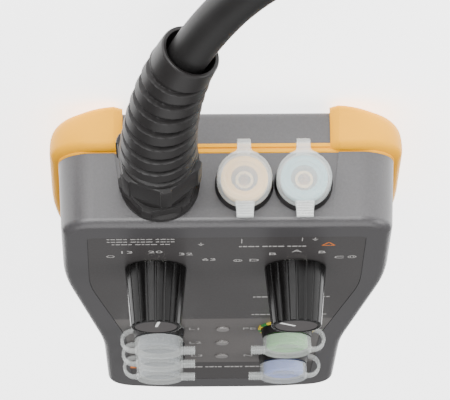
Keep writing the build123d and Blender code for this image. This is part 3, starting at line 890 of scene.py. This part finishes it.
def tube(rows):
    # rings of points in millimetres, joined and closed at both ends
    bm = bmesh.new()
    made = [[bm.verts.new(Vector(p) * mm) for p in row] for row in rows]
    count = len(rows[0])
    for here, ahead in zip(made, made[1:]):
        for j in range(count):
            bm.faces.new((here[j], here[(j + 1) % count], ahead[(j + 1) % count], ahead[j]))
    bm.faces.new(made[0][::-1])
    bm.faces.new(made[-1])
    bmesh.ops.recalc_face_normals(bm, faces=bm.faces)
    return bm


def capMesh():
    r, top, skirt, lid = cap["radius"], cap["top"], cap["skirt"], cap["lid"]
    inside = r - cap["wall"]
    profile = [(0.02, top - lid), (inside - 0.3, top - lid), (inside, top - lid - 0.3), (inside, skirt + 0.15),
               (inside + 0.15, skirt), (r - 0.2, skirt), (r, skirt + 0.2), (r, top - 0.95)]
    for k in range(1, 7):
        a = math.pi / 2 * k / 6
        profile.append((r - 0.95 + 0.95 * math.cos(a), top - 0.95 + 0.95 * math.sin(a)))
    profile += [(6.6, top), (6.3, top - 0.12), (5.9, top - 0.12), (5.6, top), (0.02, top)]
    bm = bmesh.new()
    bm.from_mesh(gridMesh("capDisc", ringRows(profile), closedColumns=True))
    # flat tab with rounded end
    half, x0, x1 = cap["tabWidth"] / 2, -cap["tabEnd"], -cap["tabStart"] + 0.4
    corners = roundedPath([(x0, -half), (x1, -half - 0.5), (x1, half + 0.5), (x0, half)], [0.8, 0.0, 0.0, 0.8])
    rows = []
    for z, inset in ((7.55, 0.25), (7.75, 0.0), (8.65, 0.0), (8.85, 0.25)):
        rows.append([(p.x, p.y, z) for p in grown(corners, -inset)])
    bm.from_mesh(toMesh("capTab", tube(rows)))
    for height in (8.85, 7.55):
        ribs = runTree("capRibs", bpy.data.meshes.new("ribSeed"), makeRibTree(), {
            "Count": cap["ribs"], "Pitch": cap["ribPitch"] * mm, "Bar Radius": cap["ribRadius"] * mm,
            "Bar Length": (cap["tabWidth"] + 0.1) * mm, "Height": height * mm, "Start": (x0 + 0.35) * mm})
        bm.from_mesh(ribs)
    return toMesh("capShape", bm)


def strapMesh():
    cx, cz = cap["loopCentre"]
    radius, thick = cap["loopRadius"], cap["strapThick"] / 2
    stations = [(8.4, cz - radius, 4.4), (9.2, cz - radius, cap["strapWidth"])]
    for k in range(25):
        a = -math.pi / 2 + math.pi * k / 24
        stations.append((cx + radius * math.cos(a), cz + radius * math.sin(a), cap["strapWidth"]))
    stations += [(9.3, cz + radius + 0.02, 4.7), (8.9, cz + radius + 0.02, 5.4), (8.5, cz + radius + 0.02, 6.6),
                 (8.0, cz + radius + 0.02, cap["flare"])]
    section = roundedPath([(-1, -1), (1, -1), (1, 1), (-1, 1)], [0.5, 0.5, 0.5, 0.5], 30.0)
    rows = []
    for i, (x, z, width) in enumerate(stations):
        a, b = stations[max(0, i - 1)], stations[min(len(stations) - 1, i + 1)]
        along = Vector((b[0] - a[0], 0, b[1] - a[1])).normalized()
        outward = Vector((along.z, 0, -along.x))
        row = []
        for p in section:
            # sides are rounded by half the strap's thickness, whatever its width
            y = (width / 2 - thick) * (1 if p.x > 0 else -1) + thick * (p.x - (0.5 if p.x > 0 else -0.5)) * 2
            row.append(Vector((x, y, z)) + outward * (p.y * thick))
        rows.append(row)
    bm = tube(rows)
    washer = [(6.5, 0.02), (9.2, 0.02), (9.3, 0.12), (9.3, 0.5), (9.2, 0.6), (6.5, 0.6)]
    bm.from_mesh(gridMesh("washer", ringRows(washer), closedColumns=True))
    return toMesh("strapShape", bm)


def makeCaps():
    capShape, strapShape = capMesh(), strapMesh()
    clear = finishes["cap_clear"]
    for name, place in socketPlaces().items():
        body = "cap_" + name + "_body"
        shape = capShape.copy()
        shape.transform(place)
        piece("cap_shell_" + name, shape, clear, body, ["cap_" + name], 32.0)
        shape = strapShape.copy()
        shape.transform(place)
        strap = piece("cap_strap_" + name, shape, clear, None, ["strap_" + name], 32.0)
        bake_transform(strap)


makeCaps()
print("caps and straps made")


# print on the panel

legends = {
    "size": 3.9, "wide": 1.3, "rise": 0.03,
    "numbers": {"13": (-33.1, 81.7), "20": (-23.4, 81.9), "32": (-13.4, 79.2), "63": (-5.6, 72.6)},
    # the space tells the second B from the first
    "letters": {"D": (9.4, 71.4), "B": (15.3, 78.7), "A": (23.3, 81.9), "B ": (31.6, 80.4), "C": (37.6, 74.3)},
    "marks": {
        "L1": (-10.2, -18.4), "L2": (-10.1, -38.6), "L3": (-9.4, -58.4), "PE": (9.6, -18.4), "N": (10.0, -58.6),
    },
    # lines of fine print: x, y, length, height
    "lines": [
        (-28.0, 96.5, 22.0, 0.7), (-28.0, 93.6, 22.0, 0.7), (-28.0, 90.7, 19.0, 0.7), (15.1, 87.6, 22.0, 1.0),
        (23.6, 25.2, 27.0, 1.0), (23.6, 1.5, 27.0, 1.0), (0.0, -76.0, 44.0, 1.5),
    ],
}


def addText(bm, words, x, y, size):
    curve = bpy.data.curves.new("legend", "FONT")
    curve.body, curve.size, curve.align_x, curve.align_y = words.strip(), size, "CENTER", "CENTER"
    curve.extrude, curve.resolution_u = legends["rise"] / 2, 3
    holder = bpy.data.objects.new("legend", curve)
    bpy.context.scene.collection.objects.link(holder)
    bpy.context.view_layer.update()
    mesh = bpy.data.meshes.new_from_object(holder.evaluated_get(bpy.context.evaluated_depsgraph_get()))
    bpy.data.objects.remove(holder)
    place = Matrix.Translation((x, y, case["labelTop"] + legends["rise"] / 2))
    mesh.transform(Matrix.Scale(mm, 4) @ place @ Matrix.Diagonal((legends["wide"], 1, 1, 1)))
    bm.from_mesh(mesh)


def addPlate(bm, points):
    low, high = case["labelTop"], case["labelTop"] + legends["rise"]
    bottom = [bm.verts.new(Vector((x, y, low)) * mm) for x, y in points]
    top = [bm.verts.new(Vector((x, y, high)) * mm) for x, y in points]
    count = len(points)
    faces = [bm.faces.new(top), bm.faces.new(bottom[::-1])]
    for j in range(count):
        faces.append(bm.faces.new((bottom[j], bottom[(j + 1) % count], top[(j + 1) % count], top[j])))
    bmesh.ops.recalc_face_normals(bm, faces=faces)


def addStroke(bm, x0, y0, x1, y1, width):
    along = Vector((x1 - x0, y1 - y0)).normalized()
    side = Vector((-along.y, along.x)) * width / 2
    addPlate(bm, [(x0 - side.x, y0 - side.y), (x1 - side.x, y1 - side.y),
                  (x1 + side.x, y1 + side.y), (x0 + side.x, y0 + side.y)])


def addArc(bm, x, y, radius, start, end, width=0.35):
    steps = max(3, int(abs(end - start) / 15))
    for k in range(steps):
        a, b = (math.radians(start + (end - start) * (k + i) / steps) for i in (0, 1))
        addStroke(bm, x + radius * math.cos(a), y + radius * math.sin(a),
                  x + radius * math.cos(b), y + radius * math.sin(b), width)


def addDashes(bm, x, y, width, height):
    # a line of print too small to read: short bars of uneven length
    place, k = x - width / 2, 0
    while place < x + width / 2:
        length = 0.9 + 0.55 * ((k * 7) % 5) / 2
        addStroke(bm, place, y, min(place + length, x + width / 2), y, height)
        place += length + (1.1 if k % 4 == 3 else 0.35)
        k += 1


def addEarth(bm, x, y, size):
    addStroke(bm, x, y + size, x, y, 0.3)
    for k in range(3):
        half = size * (0.62 - 0.2 * k)
        addStroke(bm, x - half, y - 0.45 * k * size, x + half, y - 0.45 * k * size, 0.28)


def makeLegends():
    bm = bmesh.new()
    for group in ("numbers", "letters", "marks"):
        for words, (x, y) in legends[group].items():
            addText(bm, words, x, y, legends["size"])
    for x, y, width, height in legends["lines"]:
        addDashes(bm, x, y, width, height)
    addArc(bm, -38.3, 76.9, 1.2, 0, 360)                       # off position of the left dial
    addEarth(bm, -8.4, 90.6, 1.6)
    addEarth(bm, 28.8, 95.6, 1.6)
    addStroke(bm, 4.9, 96.0, 4.9, 91.5, 0.3)
    addStroke(bm, 24.6, 97.0, 24.6, 93.5, 0.3)
    for x, y in ((4.0, 71.2), (41.9, 74.8)):                   # small plug outlines beside the right dial
        addArc(bm, x, y, 1.3, 0, 360)
        addStroke(bm, x - 0.5, y - 0.5, x - 0.5, y + 0.5, 0.35)
        addStroke(bm, x + 0.5, y - 0.5, x + 0.5, y + 0.5, 0.35)
    for y in (36.5, 12.5):                                     # ring round each push-button
        addArc(bm, 23.6, y, 5.4, 0, 360, 0.3)
    piece("panel_print", toMesh("panel_print", bm), printInk, "case", (), 0)
    bm = bmesh.new()
    addStroke(bm, 31.4, 88.3, 35.4, 88.3, 0.4)
    addStroke(bm, 35.5, 88.3, 33.4, 91.8, 0.4)
    addStroke(bm, 33.4, 91.8, 31.3, 88.3, 0.4)
    addPlate(bm, [(-36.6, -77.2), (-32.4, -77.2), (-34.5, -74.0)])
    piece("panel_print_orange", toMesh("panel_print_orange", bm), printOrange, "case", (), 0)


def addPointer(name, x, angle):
    turn = Matrix.Translation(Vector((x, 62.6, 0)) * mm) @ Matrix.Rotation(math.radians(angle), 4, "Z")
    bm = bmesh.new()
    top, low = 61.97, 61.7
    outline = roundedPath([(-0.46, 0.55), (0.46, 0.55), (0.46, 7.0), (-0.46, 7.0)], [0.3, 0.3, 0.1, 0.1], 20.0)
    bottom = [bm.verts.new(turn @ (Vector((p.x, p.y, low)) * mm)) for p in outline]
    upper = [bm.verts.new(turn @ (Vector((p.x, p.y, top)) * mm)) for p in outline]
    count = len(outline)
    bm.faces.new(upper)
    bm.faces.new(bottom[::-1])
    for j in range(count):
        bm.faces.new((bottom[j], bottom[(j + 1) % count], upper[(j + 1) % count], upper[j]))
    bmesh.ops.recalc_face_normals(bm, faces=bm.faces)
    piece(name + "_pointer", toMesh(name + "_pointer", bm), pointerWhite, name + "_knob_body", (), 0)


makeLegends()
addPointer("current", -23.5, -9.0)
addPointer("state", 23.5, 52.0)
print("print and pointers made")


# finishes on the CAD nodes that stay

slotNodes = {
    "case_plastic": ["front_shell", "rear_shell"],
    "label_film": ["panel_label"],
    "screw_steel": ["case_screws", "board_screws", "current_shaft", "state_shaft"],
    "nut_nickel": ["switch_nuts", "socket_nuts"],
    "black_plastic": ["tact_switches", "current_switch", "state_switch"],
    "lamp_lens": ["indicator_lamps"],
    "board": ["circuit_board"],
    "wire_sheath": ["board_wires"],
    "button_plastic": ["signal_fault_button", "earth_fault_button"],
    "contact_brass": ["socket_contacts"],
    "insert_grey": ["insert_lines"],
    "insert_green": ["insert_pe"],
    "insert_blue": ["insert_n"],
    "insert_yellow": ["insert_signal"],
    "insert_teal": ["insert_signal_earth"],
    "earth_yellow": ["earth_ring"],
    "gland_seal": ["gland_seal"],
    "gland_nylon": ["gland_locknut"],
    "lead_rubber": ["lead_in_gland", "plug_boot"],
    "plug_plastic": ["plug_shell", "plug_face"],
    "pin_silver": ["plug_pins"],
    "knob_gloss": ["current_knob", "state_knob"],
    "knob_cap": ["current_knob_cap", "state_knob_cap"],
}


def dress(name, material):
    mesh = nodes[name].data
    mesh.materials.clear()
    mesh.materials.append(material)


for slotName, names in slotNodes.items():
    for name in names:
        dress(name, finishes[slotName])
for name in list(frontSockets) + list(endSockets):
    onEnd = name in endSockets
    level = (case["faceY"] if onEnd else case["labelTop"]) + 3.75
    dress("socket_" + name, makeSocket("collar_" + name, circuitColour[name], 1 if onEnd else 2, level))
print("CAD nodes finished:", sum(len(names) for names in slotNodes.values()) + 7)


# floor and studio light

studio = {
    "floorSize": 9.0, "floorZ": -0.0003, "world": 0.35, "glow": 3.0,
    "lamps": [  # place, aims at, width, height, watts
        ((-0.35, 1.25, 0.25), (0.0, 0.1, 0.03), 1.3, 0.45, 26.0),
        ((0.0, 0.1, 1.5), (0.0, 0.05, 0.0), 1.8, 1.8, 26.0),
        ((0.95, 0.25, 0.45), (0.0, 0.05, 0.02), 0.7, 0.5, 7.0),
    ],
}


def makeStudio():
    half = studio["floorSize"] / 2
    bm = bmesh.new()
    corners = [(-half, -half), (half, -half), (half, half), (-half, half)]
    bm.faces.new([bm.verts.new((x, y, studio["floorZ"])) for x, y in corners])
    mesh = toMesh("floor", bm)
    floor = bpy.data.objects.new("floor", mesh)
    bpy.context.scene.collection.objects.link(floor)
    paint = Finish("floorPaper", (0.85, 0.85, 0.85), 0.85, Emission_Color=(1, 1, 1, 1),
                   Emission_Strength=studio["glow"])
    fibre = paint.noise(40.0, 3.0, 0.6)
    paint.tint(paint.mix(fibre, (0.845, 0.845, 0.845, 1), (0.855, 0.855, 0.855, 1)))
    mesh.materials.append(paint.material)
    for k, (place, aim, width, height, watts) in enumerate(studio["lamps"]):
        data = bpy.data.lights.new("softbox%d" % k, "AREA")
        data.shape, data.size, data.size_y, data.energy = "RECTANGLE", width, height, watts
        obj = bpy.data.objects.new("softbox%d" % k, data)
        bpy.context.scene.collection.objects.link(obj)
        obj.location = place
        obj.rotation_euler = (Vector(aim) - Vector(place)).to_track_quat("-Z", "Y").to_euler()
    world = bpy.data.worlds.new("studio")
    world.use_nodes = True
    world.node_tree.nodes["Background"].inputs[0].default_value = (1, 1, 1, 1)
    world.node_tree.nodes["Background"].inputs[1].default_value = studio["world"]
    bpy.context.scene.world = world


makeStudio()
print("studio lit")
